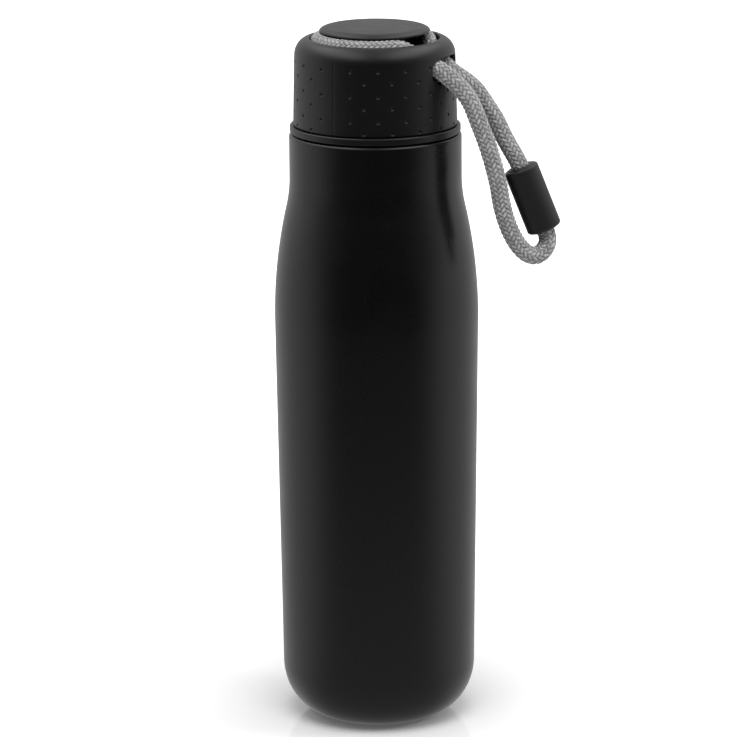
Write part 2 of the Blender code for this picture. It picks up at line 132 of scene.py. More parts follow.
def skin(name, points, ids, close_rows=True, sharp=40):
    """Smooth mesh over a grid of points whose columns close up, and whose rows do unless told not to.

    ids numbers the grid's points; points that share a number become one, and faces that lose a side
    by it become triangles.
    """
    beside = np.roll(ids, -1, axis=1)
    quads = np.stack((ids, beside, np.roll(beside, -1, axis=0), np.roll(ids, -1, axis=0)), axis=-1)
    if not close_rows:
        quads = quads[:-1]
    quads = quads.reshape(-1, 4)
    low = quads[:, 0] == quads[:, 1]
    high = quads[:, 2] == quads[:, 3]
    parts = [quads[~low & ~high], quads[low & ~high][:, 1:], quads[high & ~low][:, :3]]
    used = np.unique(np.concatenate([part.ravel() for part in parts]))
    place = np.zeros(ids.size, int)
    place[used] = np.arange(len(used))
    faces = [face for part in parts for face in place[part].tolist()]
    mesh = bpy.data.meshes.new(name)
    mesh.from_pydata((points.reshape(-1, 3)[used] * MM).tolist(), [], faces)
    mesh.shade_smooth()
    mesh.set_sharp_from_angle(angle=math.radians(sharp))
    made = bpy.data.objects.new(name, mesh)
    bpy.context.scene.collection.objects.link(made)
    return made


def turned(name, outline, turns=None, press=None):
    """Surface of revolution about +Z of a closed (r, z) outline that runs anticlockwise.

    Points with r = 0 become one pole. press(turn, r, z) says how far each point moves to the axis.
    """
    if turns is None:
        turns = np.linspace(0, 2 * math.pi, COLUMNS, endpoint=False)
    r, z, turn = np.broadcast_arrays(outline[:, :1], outline[:, 1:], turns[None, :])
    if press:
        r = r - press(turn, r, z)
    ids = np.arange(r.size).reshape(r.shape)
    on_axis = outline[:, 0] == 0
    ids[on_axis] = ids[on_axis, :1]
    return skin(name, np.stack((r * np.cos(turn), r * np.sin(turn), z), axis=-1), ids)


def finish(name, colour, roughness, metallic=0.0):
    """New Principled material; returns it with its node tree and its shader."""
    made = bpy.data.materials.new(name)
    made.use_nodes = True
    shader = made.node_tree.nodes["Principled BSDF"]
    shader.inputs["Base Color"].default_value = (*colour, 1.0)
    shader.inputs["Roughness"].default_value = roughness
    shader.inputs["Metallic"].default_value = metallic
    return made, made.node_tree, shader


def node(tree, kind, sockets=None, **properties):
    """New node with its properties set, and its sockets filled with values or linked to outputs."""
    made = tree.nodes.new(kind)
    for key, value in properties.items():
        setattr(made, key, value)
    for key, value in (sockets or {}).items():
        if isinstance(value, bpy.types.NodeSocket):
            tree.links.new(value, made.inputs[key])
        else:
            made.inputs[key].default_value = value
    return made


def grain(tree, place, per_metre, detail=2.0):
    """Noise at so many lumps a metre, from 0 to 1."""
    sockets = {"Vector": place, "Scale": per_metre, "Detail": detail}
    return node(tree, "ShaderNodeTexNoise", sockets).outputs["Fac"]


def spread(tree, value, low, high):
    """Maps the middle half of a noise value on to low to high."""
    sockets = {"Value": value, "From Min": 0.3, "From Max": 0.7, "To Min": low, "To Max": high}
    return node(tree, "ShaderNodeMapRange", sockets).outputs["Result"]


def relief(tree, shader, *layers):
    """Bump layers on a shader, each a height value and its depth in millimetres."""
    normal = None
    for height, depth in layers:
        sockets = {"Height": height, "Distance": depth * MM}
        if normal:
            sockets["Normal"] = normal
        normal = node(tree, "ShaderNodeBump", sockets).outputs["Normal"]
    tree.links.new(normal, shader.inputs["Normal"])


def powder_coat():
    """Black powder coat: a soft orange peel with a fine tooth, and a little variation in its sheen."""
    made, tree, shader = finish("satin_black_powder_coat", (0.0015, 0.0015, 0.0015), 0.28)
    place = node(tree, "ShaderNodeTexCoord").outputs["Object"]
    tree.links.new(spread(tree, grain(tree, place, 90, 4), 0.25, 0.30), shader.inputs["Roughness"])
    relief(tree, shader, (grain(tree, place, 650), 0.004), (grain(tree, place, 3200), 0.0022))
    return made


def belongs(piece, body, slot, material, *nodes):
    """Gives a piece its material and its body, and hides the CAD nodes that it stands for; slot is not
    used.
    """
    piece.data.materials.clear()
    piece.data.materials.append(material)
    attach(piece, body)
    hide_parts(*nodes)


lip_r = float(bottle_radius(np.array(LIP_Z - LIP_ROUND)))
shell_outline = np.concatenate((
    arc((FOOT_R, BASE_ROUND_Z), (BASE_R - FOOT_R, BASE_ROUND_Z), -90, 0, 28),
    bottle_line(0.0, BASE_ROUND_Z, BELLY_Z, 16)[1:],
    bottle_line(0.0, BELLY_Z, LIP_Z - LIP_ROUND, 64)[1:],
    arc((lip_r - LIP_ROUND, LIP_Z - LIP_ROUND), (LIP_ROUND, LIP_ROUND), 12, 90, 7),
    [(LIP_HOLE_R + 0.1, LIP_Z), (LIP_HOLE_R, LIP_Z - 0.1), (LIP_HOLE_R, LIP_Z - WALL)],
    [(lip_r - LIP_ROUND, LIP_Z - WALL)],
    bottle_line(WALL, BASE_ROUND_Z, LIP_Z - LIP_ROUND, 64)[::-1],
    arc((FOOT_R, BASE_ROUND_Z), (BASE_R - WALL - FOOT_R, BASE_ROUND_Z - WALL), 0, -90, 16)[1:],
    [(FOOT_HOLE_R + WALL, WALL), (FOOT_HOLE_R + WALL, FOOT_RING_Z), (FOOT_HOLE_R, FOOT_RING_Z)],
    [(FOOT_HOLE_R, 0.3), (FOOT_HOLE_R + 0.1, 0.1), (FOOT_HOLE_R + 0.3, 0.0)],
))
black_coat = powder_coat()
bottle_shell = turned("bottle_shell", shell_outline)
belongs(bottle_shell, "flask", "black_paint", black_coat, "outer_shell")


# ------------------------------------------------------------------ bottom of the bottle
# A pressed steel bottom is welded in the foot. A fused glass bead closes its evacuation hole, a
# getter pellet sits above it, and a thin painted disc covers it from below.

BOTTOM_Z = 3.0
BOTTOM_WALL = 0.5
EVACUATION_R = 1.5
DISH_R = 9.0
DISH_EDGE_R = 11.0
DISH_DEPTH = 0.4
COVER_Z = 0.9
COVER_DISH_Z = 1.2
COVER_TOP_Z = 1.6
COVER_RIM_R = 14.7
COVER_RIM_Z = 2.1
BEAD_R = 2.4
BEAD_STEM_R = 1.1
GETTER_R = 4.6
GETTER_Z = 4.8
GETTER_TOP_Z = 5.7


def brushed_steel():
    """Stainless steel brushed round the axis: fine streaks that run level, in bump and in sheen."""
    made, tree, shader = finish("brushed_stainless_steel", (0.60, 0.60, 0.585), 0.27, 1.0)
    place = node(tree, "ShaderNodeTexCoord").outputs["Object"]
    level = node(tree, "ShaderNodeMapping", {"Vector": place, "Scale": (25, 25, 2600)})
    streaks = grain(tree, level.outputs["Vector"], 1.0, 3)
    tree.links.new(spread(tree, streaks, 0.22, 0.34), shader.inputs["Roughness"])
    relief(tree, shader, (streaks, 0.0025))
    return made


def sealing_glass():
    """Fused sealing glass with slight waves in its surface."""
    made, tree, shader = finish("sealing_glass", (0.30, 0.33, 0.30), 0.12)
    shader.inputs["Transmission Weight"].default_value = 0.6
    place = node(tree, "ShaderNodeTexCoord").outputs["Object"]
    relief(tree, shader, (grain(tree, place, 900), 0.01))
    return made


def getter_metal():
    """Sintered grey metal, finely porous."""
    made, tree, shader = finish("getter_alloy", (0.30, 0.29, 0.28), 0.6, 0.8)
    place = node(tree, "ShaderNodeTexCoord").outputs["Object"]
    pores = node(tree, "ShaderNodeTexVoronoi", {"Vector": place, "Scale": 3000.0}).outputs["Distance"]
    tree.links.new(spread(tree, grain(tree, place, 2000), 0.5, 0.75), shader.inputs["Roughness"])
    relief(tree, shader, (pores, 0.02))
    return made


bare_steel = brushed_steel()
bottom_r = FOOT_HOLE_R - 0.3
dish_z = BOTTOM_Z - DISH_DEPTH
pressed_bottom = turned("pressed_bottom", rounded([
    (EVACUATION_R, dish_z, 0.1), (DISH_R, dish_z, 1.0), (DISH_EDGE_R, BOTTOM_Z, 1.0),
    (bottom_r, BOTTOM_Z, 0.1), (bottom_r, BOTTOM_Z + BOTTOM_WALL, 0.1),
    (DISH_EDGE_R, BOTTOM_Z + BOTTOM_WALL, 1.0), (DISH_R, dish_z + BOTTOM_WALL, 1.0),
    (EVACUATION_R, dish_z + BOTTOM_WALL, 0.1)]))
belongs(pressed_bottom, "flask", "bare_steel", bare_steel, "outer_base")

foot_disc = turned("foot_disc", rounded([
    (0, COVER_DISH_Z, 0), (12.5, COVER_DISH_Z, 0.6), (13.3, COVER_Z, 0.6), (bottom_r, COVER_Z, 0.3),
    (bottom_r, COVER_RIM_Z, 0.15), (COVER_RIM_R, COVER_RIM_Z, 0.15), (COVER_RIM_R, COVER_TOP_Z, 0.2),
    (0, COVER_TOP_Z, 0)]))
belongs(foot_disc, "flask", "black_paint", black_coat, "base_cover")

glass_bead = turned("glass_bead", rounded([
    (0, 2.3, 0), (BEAD_STEM_R, 2.35, 0.15), (BEAD_STEM_R, 3.4, 0.1), (BEAD_R, 3.45, 0.15),
    (1.8, 4.1, 0.5), (0, 4.3, 0)]))
belongs(glass_bead, "flask", "sealing_glass", sealing_glass(), "vacuum_seal")

getter_pellet = turned("getter_pellet", rounded([
    (0, GETTER_Z, 0), (GETTER_R - 0.3, GETTER_Z, 0.3), (GETTER_R, GETTER_Z + 0.3, 0.15),
    (GETTER_R, GETTER_TOP_Z, 0.15), (0, GETTER_TOP_Z, 0)]))
belongs(getter_pellet, "flask", "getter_alloy", getter_metal(), "getter")


# ------------------------------------------------------------------ liner and foil
# The steel liner holds the drink: it follows the shell, is rolled in to a seat for the seal, has a
# rolled two-start thread in its neck and flares at the mouth. A cup is welded to its lower end.

LINER_INSET = 2.9
LINER_WALL = 0.45
LINER_SPLIT_Z = 14.0
LINER_BODY_Z = 183.0
LINER_FLOOR_Z = 6.0
NECK_R = 26.8
SEAT_R = 25.4
SEAT_Z = 188.4
THREAD_LEAD = 8.0
THREAD_STARTS = 2
THREAD_TURNS = 0.9
THREAD_Z = 198.0
THREAD_HALF_ROOT = 0.95
THREAD_HALF_CREST = 0.45
THREAD_DEPTH = 1.2
THREAD_FADE = 14
CUP_BEND = 8.0
FOIL_INSET = 1.9
FOIL_THICKNESS = 0.25
FOIL_LOW_Z = 30.0
FOIL_HIGH_Z = 178.0


def thread(turn, z, middle):
    """Height from 0 to 1 of a right-hand thread: a rounded trapezoid up a helix, fading at its ends."""
    total = np.zeros(np.broadcast(turn, z).shape)
    for start in range(THREAD_STARTS):
        along = (turn / (2 * math.pi) - start / THREAD_STARTS) % 1.0
        off = np.abs(z - middle - THREAD_LEAD * along)
        flank = np.clip((THREAD_HALF_ROOT - off) / (THREAD_HALF_ROOT - THREAD_HALF_CREST), 0, 1)
        fade = np.clip(np.minimum(along, THREAD_TURNS - along) * THREAD_FADE, 0, 1)
        total = np.maximum(total, flank * flank * (3 - 2 * flank) * fade)
    return total


def neck_thread(turn, r, z):
    """How far the neck's thread stands in from its inside wall."""
    return THREAD_DEPTH * (r < NECK_R + 0.1) * thread(turn, z, THREAD_Z)


def bright_foil():
    """Aluminium foil, lightly crumpled."""
    made, tree, shader = finish("bright_foil", (0.80, 0.80, 0.80), 0.2, 1.0)
    place = node(tree, "ShaderNodeTexCoord").outputs["Object"]
    creases = node(tree, "ShaderNodeTexVoronoi", {"Vector": place, "Scale": 160.0}).outputs["Distance"]
    relief(tree, shader, (creases, 0.25), (grain(tree, place, 700), 0.03))
    return made


thread_rows = np.linspace(SEAT_Z + 4.0, LIP_Z - 2.6, 64)
liner_out = LIP_HOLE_R - 0.3
neck_out = NECK_R + LINER_WALL
seat_out = SEAT_R + LINER_WALL
body_top = float(bottle_radius(np.array(LINER_BODY_Z))) - LINER_INSET
# The first and last corner of each rounded stretch only give the corners beside them their direction.
liner_outline = np.concatenate((
    bottle_line(LINER_INSET, LINER_SPLIT_Z, LINER_BODY_Z, 48),
    rounded([(body_top, LINER_BODY_Z, 0), (27.6, 185.6, 1.0), (seat_out, SEAT_Z - 1.2, 0.6),
             (seat_out, SEAT_Z + 1.0, 0.6), (neck_out, SEAT_Z + 3.0, 0.6), (neck_out, LIP_Z - 1.4, 0.3),
             (liner_out, LIP_Z - 0.8, 0.1), (liner_out, LIP_Z - 0.2, 0.1), (NECK_R, LIP_Z - 1.3, 0.6),
             (NECK_R, SEAT_Z + 6.0, 0)])[1:-1],
    np.stack((np.full(64, NECK_R), thread_rows[::-1]), axis=1),
    rounded([(NECK_R, SEAT_Z + 6.0, 0), (NECK_R, SEAT_Z + 3.0, 0.8), (SEAT_R, SEAT_Z + 1.0, 0.8),
             (SEAT_R, SEAT_Z - 1.2, 0.8), (27.2, 185.2, 1.0),
             (body_top - LINER_WALL, LINER_BODY_Z, 0)])[1:-1],
    bottle_line(LINER_INSET + LINER_WALL, LINER_SPLIT_Z, LINER_BODY_Z, 48)[::-1],
))
liner_tube = turned("liner_tube", liner_outline, press=neck_thread)
belongs(liner_tube, "flask", "bare_steel", bare_steel, "inner_liner")

cup_r = float(bottle_radius(np.array(LINER_SPLIT_Z))) - LINER_INSET
cup_edge = LINER_SPLIT_Z - 0.3
cup_centre = (cup_r - CUP_BEND, LINER_FLOOR_Z + CUP_BEND)
inside_bend = CUP_BEND - LINER_WALL
liner_cup = turned("liner_cup", np.concatenate((
    [(0, LINER_FLOOR_Z)],
    arc(cup_centre, (CUP_BEND, CUP_BEND), -90, -4, 14),
    [(cup_r, cup_edge), (cup_r - LINER_WALL, cup_edge)],
    arc(cup_centre, (inside_bend, inside_bend), -4, -90, 14),
    [(0, LINER_FLOOR_Z + LINER_WALL)])))
belongs(liner_cup, "flask", "bare_steel", bare_steel, "liner_bottom")

foil_wrap = turned("foil_wrap", np.concatenate((
    bottle_line(FOIL_INSET, FOIL_LOW_Z, FOIL_HIGH_Z, 40),
    bottle_line(FOIL_INSET + FOIL_THICKNESS, FOIL_LOW_Z, FOIL_HIGH_Z, 40)[::-1])))
belongs(foil_wrap, "flask", "foil", bright_foil(), "radiation_foil")


# ------------------------------------------------------------------ stopper
# A moulded plug with a two-start thread, a flange that closes on the lip and a collar that the lid
# shell snaps over. Foam fills it, a welded bottom closes it, and a silicone ring seals it.

PLUG_R = 25.1
PLUG_BORE_R = 23.3
PLUG_BOTTOM_Z = 190.8
FLANGE_R = 30.2
FLANGE_Z = 213.7
FLANGE_TOP_Z = 216.2
COLLAR_R = 26.3
COLLAR_TOP_Z = 222.0
SEAL_R = 25.0
STOPPER_FLOOR_Z = 184.5
FOAM_TOP_Z = 221.0
STOPPER_WALL = 1.5
SPIGOT_TOP_Z = 195.0


def plug_thread(turn, r, z):
    """The plug's thread as a negative depth, since it stands out, a quarter lead above the neck's."""
    on_plug = np.abs(r - PLUG_R) < 0.01
    return -THREAD_DEPTH * on_plug * thread(turn, z, THREAD_Z + THREAD_LEAD / 4)


def moulded_plastic(name, colour, roughness, tooth):
    """Matt moulded plastic: a fine even tooth, with faint flow marks in its sheen."""
    made, tree, shader = finish(name, colour, roughness)
    place = node(tree, "ShaderNodeTexCoord").outputs["Object"]
    flow = spread(tree, grain(tree, place, 120, 3), roughness - 0.03, roughness + 0.03)
    tree.links.new(flow, shader.inputs["Roughness"])
    relief(tree, shader, (grain(tree, place, 2200), tooth), (grain(tree, place, 6000), tooth / 3))
    return made


def bead_foam():
    """Expanded polystyrene: pale beads pressed together."""
    made, tree, shader = finish("bead_foam", (0.85, 0.85, 0.82), 0.85)
    place = node(tree, "ShaderNodeTexCoord").outputs["Object"]
    beads = node(tree, "ShaderNodeTexVoronoi", {"Vector": place, "Scale": 400.0}).outputs["Distance"]
    relief(tree, shader, (beads, -0.4))
    return made


def silicone():
    """Translucent grey silicone with a soft bloom."""
    made, tree, shader = finish("silicone", (0.50, 0.50, 0.49), 0.5)
    shader.inputs["Subsurface Weight"].default_value = 0.3
    shader.inputs["Subsurface Radius"].default_value = (0.002, 0.002, 0.002)
    place = node(tree, "ShaderNodeTexCoord").outputs["Object"]
    tree.links.new(spread(tree, grain(tree, place, 300), 0.44, 0.56), shader.inputs["Roughness"])
    relief(tree, shader, (grain(tree, place, 1500), 0.006))
    return made


stopper_plastic = moulded_plastic("stopper_plastic", (0.003, 0.003, 0.003), 0.36, 0.006)
plug_rows = np.linspace(FLANGE_Z - 2.5, PLUG_BOTTOM_Z + 2.0, 72)[::-1]
stopper_outline = np.concatenate((
    [(PLUG_R, z) for z in plug_rows],
    rounded([(PLUG_R, FLANGE_Z - 2.5, 0), (PLUG_R, FLANGE_Z, 0.6), (FLANGE_R, FLANGE_Z, 0.45),
             (FLANGE_R, FLANGE_TOP_Z, 0.55), (COLLAR_R, FLANGE_TOP_Z, 0.3),
             (COLLAR_R, COLLAR_TOP_Z, 0.4), (PLUG_BORE_R, COLLAR_TOP_Z, 0.3),
             (PLUG_BORE_R, PLUG_BOTTOM_Z, 0.3), (PLUG_R, PLUG_BOTTOM_Z, 0.4),
             (PLUG_R, PLUG_BOTTOM_Z + 2.0, 0)])[1:-1],
))
stopper_plug = turned("stopper_plug", stopper_outline, press=plug_thread)
belongs(stopper_plug, "lid", "black_plastic", stopper_plastic, "stopper_body")

spigot_r = PLUG_BORE_R - 0.4
hollow_r = spigot_r - STOPPER_WALL
floor_z = STOPPER_FLOOR_Z
floor_top_z = floor_z + STOPPER_WALL
stopper_cap = turned("stopper_cap", rounded([
    (0, floor_z, 0), (SEAL_R - 0.6, floor_z, 0.6), (SEAL_R - 0.6, floor_top_z, 0.3),
    (spigot_r, floor_top_z, 0.1), (spigot_r, SPIGOT_TOP_Z, 0.3), (hollow_r, SPIGOT_TOP_Z, 0.3),
    (hollow_r, floor_top_z, 0.3), (0, floor_top_z, 0)]))
belongs(stopper_cap, "lid", "black_plastic", stopper_plastic, "stopper_base")

foam_core = turned("foam_core", rounded([
    (0, floor_z + 1.8, 0), (hollow_r - 0.3, floor_z + 1.8, 0.4),
    (hollow_r - 0.3, SPIGOT_TOP_Z + 0.3, 0.2), (spigot_r, SPIGOT_TOP_Z + 0.3, 0.3),
    (spigot_r, FOAM_TOP_Z, 0.6), (0, FOAM_TOP_Z, 0)]))
belongs(foam_core, "lid", "foam", bead_foam(), "stopper_foam")

ring_low = floor_z + 1.8
ring_high = PLUG_BOTTOM_Z - 0.3
ring_mid = (ring_low + ring_high) / 2
ring_in = spigot_r + 0.3
silicone_ring = turned("silicone_ring", rounded([
    (ring_in, ring_low, 0.3), (SEAL_R - 0.6, ring_low, 0.3), (SEAL_R, ring_low + 0.9, 0.5),
    (SEAL_R - 0.6, ring_mid, 0.5), (SEAL_R, ring_high - 0.9, 0.5), (SEAL_R - 0.6, ring_high, 0.3),
    (ring_in, ring_high, 0.3)]))
belongs(silicone_ring, "seal", "silicone", silicone(), "seal_ring")


# ------------------------------------------------------------------ lid shell
# A drawn-in cap of matt plastic with rows of round dimples on its band and a smoother shoulder. A
# channel for the cord runs round its hub, and an oblong slot lets the cord out over a pocket.

LID_FOOT_R = 29.0
LID_FOOT_Z = 216.5
LID_TOP_R = 28.4
LID_WALL = 2.1
LID_ROUND_Z = 240.9
RIM_R = 22.9
RIM_Z = 247.0
CHANNEL_Z = 242.1
LID_CEILING_Z = 241.1
HUB_R = 12.0
HUB_WALL = 1.8
HUB_Z = 248.1
HUB_BORE_R = 4.3
HUB_PLATE_Z = 246.5
DIMPLE_COLUMNS = 36
DIMPLE_STEP = 10.0
DIMPLE_FIRST = -108.0
BACK_SHIFT = 2.5
FRONT_COLUMNS = 17
DIMPLE_R = 0.68
DIMPLE_DEPTH = 0.4
DIMPLE_TOP_Z = 239.3
DIMPLE_RISE = 8.8
DIMPLE_OFFSET = 4.15
DIMPLE_TIERS = 3
SEAM_TURNS = (-120.5, 59.5)
SEAM_HALF = 0.5
SEAM_CLEAR = 3.0
SEAM_DEPTH = 0.09
SLOT_MIDDLE = -24.5
SLOT_HALF_TURN = 20.5
SLOT_Z = 233.1
SLOT_TOP_Z = 241.7
SLOT_CORNER = 4.0
POCKET_R = 15.6
POCKET_FROM = -66.0
POCKET_TO = 19.0
TRAY_WALL = 1.6

# The mesh has a column or row of points wherever a dimple's slope needs one.
across = np.array((0.35, 0.68, 0.98, 1.22, 1.42, 2.8, 4.2))
column = np.arange(DIMPLE_COLUMNS)
centres = DIMPLE_FIRST + DIMPLE_STEP * column - BACK_SHIFT * (column >= FRONT_COLUMNS)
sideways = np.concatenate((-across[::-1], [0], across))
lid_turns = np.sort(np.radians(centres[:, None] + sideways).ravel())
up_down = np.array((0.15, 0.3, 0.44, 0.56, 0.68))
dimple_rows = []
for tier in range(DIMPLE_TIERS):
    for start in (0.0, DIMPLE_OFFSET):
        dimple_rows.append(DIMPLE_TOP_Z - DIMPLE_RISE * tier - start)
upward = np.concatenate((-up_down[::-1], [0], up_down))
band_z = np.sort((np.array(dimple_rows)[:, None] + upward).ravel())


def lid_radius(z):
    """Outer radius of the lid's band at height z."""
    return LID_FOOT_R + (LID_TOP_R - LID_FOOT_R) * (z - LID_FOOT_Z) / (LID_ROUND_Z - LID_FOOT_Z)


def dimples(turn, r, z):
    """Depth of the band's dimples and seams.

    The dimples are round hollows, in columns that alternate in height and leave the seams clear.
    """
    column = np.degrees(turn) - DIMPLE_FIRST
    column = column + BACK_SHIFT * (column > DIMPLE_STEP * (FRONT_COLUMNS - 0.5) - BACK_SHIFT / 2)
    number = np.round(column / DIMPLE_STEP)
    sideways = np.radians(column - number * DIMPLE_STEP) * LID_FOOT_R
    drop = DIMPLE_TOP_Z - DIMPLE_OFFSET * (number % 2) - z
    upright = drop - np.clip(np.round(drop / DIMPLE_RISE), 0, DIMPLE_TIERS - 1) * DIMPLE_RISE
    hollow = np.clip(1 - (sideways ** 2 + upright ** 2) / DIMPLE_R ** 2, 0, 1) ** 0.75
    seam = np.zeros_like(hollow)
    for place in SEAM_TURNS:
        off = (np.degrees(turn) - place + 180) % 360 - 180
        hollow = np.where(np.abs(off) < SEAM_CLEAR, 0, hollow)
        seam = np.maximum(seam, np.clip(1 - np.abs(off) / SEAM_HALF, 0, 1))
    outside = (z < RIM_Z - 0.2) & (r > lid_radius(z) - 0.2 - 6 * (z > LID_ROUND_Z))
    band = outside & (z < LID_ROUND_Z) & (z > LID_FOOT_Z + 0.3)
    return DIMPLE_DEPTH * hollow * band + SEAM_DEPTH * seam * outside


def ringed(name, rings):
    """Closed solid through a row of like rings of points, with flat ends."""
    size = rings.shape[1]
    points = rings.reshape(-1, 3) * MM
    ids = np.arange(len(points)).reshape(-1, size)
    beside = np.roll(ids, -1, axis=1)
    sides = np.stack((ids[:-1], beside[:-1], beside[1:], ids[1:]), axis=-1).reshape(-1, 4)
    mesh = bpy.data.meshes.new(name)
    mesh.from_pydata(points.tolist(), [], sides.tolist() + [ids[0].tolist(), ids[-1].tolist()])
    shape = bmesh.new()
    shape.from_mesh(mesh)
    bmesh.ops.recalc_face_normals(shape, faces=shape.faces)
    shape.to_mesh(mesh)
    shape.free()
    made = bpy.data.objects.new(name, mesh)
    bpy.context.scene.collection.objects.link(made)
    return made


def wedge(name, outline, start, end, steps):
    """Closed (r, z) outline carried about +Z from one angle to another."""
    r, z = np.array(outline, float).T
    turn = np.radians(np.linspace(start, end, steps + 1))[:, None]
    rings = np.stack((r * np.cos(turn), r * np.sin(turn), z + 0 * turn), axis=-1)
    return ringed(name, rings)


def combine(piece, tool, operation):
    """Boolean of the piece with a tool, made final; the tool is removed."""
    step = piece.modifiers.new(tool.name, "BOOLEAN")
    step.operation = operation
    step.solver = "EXACT"
    step.object = tool
    graph = bpy.context.evaluated_depsgraph_get()
    done = bpy.data.meshes.new_from_object(piece.evaluated_get(graph))
    piece.modifiers.clear()
    piece.data = done
    bpy.data.objects.remove(tool, do_unlink=True)


inner_r = LID_FOOT_R - LID_WALL
ceiling_r = LID_TOP_R - LID_WALL
hub_in = HUB_R - HUB_WALL
band = [(float(lid_radius(z)), float(z), 0) for z in band_z]
shoulder = arc((RIM_R + 0.4, LID_ROUND_Z), (LID_TOP_R - RIM_R - 0.4, RIM_Z - LID_ROUND_Z), 0, 86, 22)
lid_outline = rounded(
    [(LID_FOOT_R, LID_FOOT_Z, 0.25)] + band + [(float(r), float(z), 0) for r, z in shoulder]
    + [(RIM_R, RIM_Z, 0.35), (RIM_R, CHANNEL_Z, 0.6), (HUB_R, CHANNEL_Z, 0.6), (HUB_R, HUB_Z, 0.4),
       (HUB_BORE_R, HUB_Z, 0.3), (HUB_BORE_R, HUB_PLATE_Z, 0.1), (hub_in, HUB_PLATE_Z, 0.3),
       (hub_in, LID_CEILING_Z, 0.1), (ceiling_r, LID_CEILING_Z, 1.0), (inner_r, LID_FOOT_Z, 0.2)],
    5, 0.04)
lid_cap = turned("lid_cap", lid_outline, lid_turns, dimples)

tray_r = POCKET_R - TRAY_WALL
tray_z = SLOT_Z - TRAY_WALL
tray = [(tray_r, tray_z), (ceiling_r + 1.0, tray_z), (ceiling_r + 1.0, LID_CEILING_Z - 0.6),
        (ceiling_r - 1.0, LID_CEILING_Z + 0.5), (tray_r, LID_CEILING_Z + 0.5)]
back_r = ceiling_r - 0.4
hollow = [(POCKET_R, SLOT_Z), (back_r, SLOT_Z), (back_r, SLOT_TOP_Z + 1.5),
          (back_r - 1.3, SLOT_TOP_Z + 2.5), (RIM_R - 0.2, SLOT_TOP_Z + 2.9),
          (RIM_R - 0.2, CHANNEL_Z + 0.8), (POCKET_R, CHANNEL_Z + 0.8)]
combine(lid_cap, wedge("tray", tray, POCKET_FROM - 3, POCKET_TO + 3, 24), "UNION")
combine(lid_cap, wedge("hollow", hollow, POCKET_FROM, POCKET_TO, 24), "DIFFERENCE")


def slot_ring(r, grow):
    """The slot's rounded oblong at radius r, larger all round by grow."""
    half = math.radians(SLOT_HALF_TURN) * LID_TOP_R
    corner = SLOT_CORNER + grow
    ends = [(-half - grow, SLOT_Z - grow, corner), (half + grow, SLOT_Z - grow, corner),
            (half + grow, SLOT_TOP_Z + grow, corner), (-half - grow, SLOT_TOP_Z + grow, corner)]
    along, z = rounded(ends, 8, 0.02).T
    turn = np.radians(SLOT_MIDDLE) + along / LID_TOP_R
    return np.stack((r * np.cos(turn), r * np.sin(turn), z), axis=-1)


slot_rings = np.array([slot_ring(r, grow) for r, grow in (
    (ceiling_r - 1.2, 0.9), (ceiling_r + 0.2, 0.0), (LID_TOP_R - 0.35, 0.0), (LID_TOP_R - 0.12, 0.08),
    (LID_TOP_R + 0.1, 0.3), (LID_TOP_R + 0.5, 0.9), (LID_FOOT_R + 1.2, 1.8))])
combine(lid_cap, ringed("slot", slot_rings), "DIFFERENCE")
lid_cap.data.shade_smooth()
lid_cap.data.set_sharp_from_angle(angle=math.radians(40))


def lid_plastic():
    """Matt black lid plastic with a fine tooth: the shoulder is slightly smoother than the band."""
    made, tree, shader = finish("lid_plastic", (0.0025, 0.0025, 0.0025), 0.4)
    place = node(tree, "ShaderNodeTexCoord").outputs["Object"]
    height = node(tree, "ShaderNodeSeparateXYZ", {"Vector": place}).outputs["Z"]
    sockets = {"Value": height, "From Min": (LID_ROUND_Z - 0.3) * MM,
               "From Max": (LID_ROUND_Z + 0.3) * MM, "To Min": 0.38, "To Max": 0.36}
    above = node(tree, "ShaderNodeMapRange", sockets).outputs["Result"]
    flow = spread(tree, grain(tree, place, 150, 3), -0.02, 0.02)
    sum_up = node(tree, "ShaderNodeMath", {0: above, 1: flow}, operation="ADD").outputs[0]
    tree.links.new(sum_up, shader.inputs["Roughness"])
    relief(tree, shader, (grain(tree, place, 2400), 0.008), (grain(tree, place, 6500), 0.003))
    return made


belongs(lid_cap, "lid", "soft_black_plastic", lid_plastic(), "lid_shell")


# ------------------------------------------------------------------ disc on top of the lid
# A thin moulded plastic disc that keeps the cord in its channel. Its top rounds off gently to the
# rim, its underside is drawn in, and its barbed stem snaps into the bore of the lid's hub.

DISC_R = 19.55
DISC_UNDER_R = 17.5
DISC_UNDER_Z = 248.4
DISC_EDGE_Z = 249.3
DISC_TOP_R = 16.2
TOP_Z = 250.9
STEM_R = HUB_BORE_R - 0.3
BARB_R = 5.0
BARB_TOP_Z = HUB_PLATE_Z - 0.3
STEM_Z = 243.6

disc_plastic = moulded_plastic("disc_plastic", (0.008, 0.008, 0.008), 0.42, 0.008)
stem = rounded([
    (0, STEM_Z, 0), (3.6, STEM_Z, 0.3), (BARB_R, STEM_Z + 1.4, 0.3), (BARB_R, BARB_TOP_Z, 0.2),
    (STEM_R, BARB_TOP_Z, 0.1), (STEM_R, DISC_UNDER_Z, 0.4), (DISC_UNDER_R, DISC_UNDER_Z, 0.5),
    (DISC_R - 0.1, DISC_EDGE_Z - 0.1, 0.1), (0, TOP_Z, 0)])
# Only the first point of the last fillet stays: from there the rim's own arc goes on to the top.
stem = stem[:-9]
edge = arc((DISC_TOP_R, DISC_EDGE_Z), (DISC_R - DISC_TOP_R, TOP_Z - DISC_EDGE_Z), 6, 90, 16)
lid_disc = turned("lid_disc", np.concatenate((stem, edge, [(0, TOP_Z)])))
belongs(lid_disc, "lid", "soft_black_plastic", disc_plastic, "top_disc")


# ------------------------------------------------------------------ barrel connector
# A smooth moulded plastic barrel that both ends of the cord are pushed and glued into. A low ring
# stands round the hole at each end, and a fine seam runs down two sides.

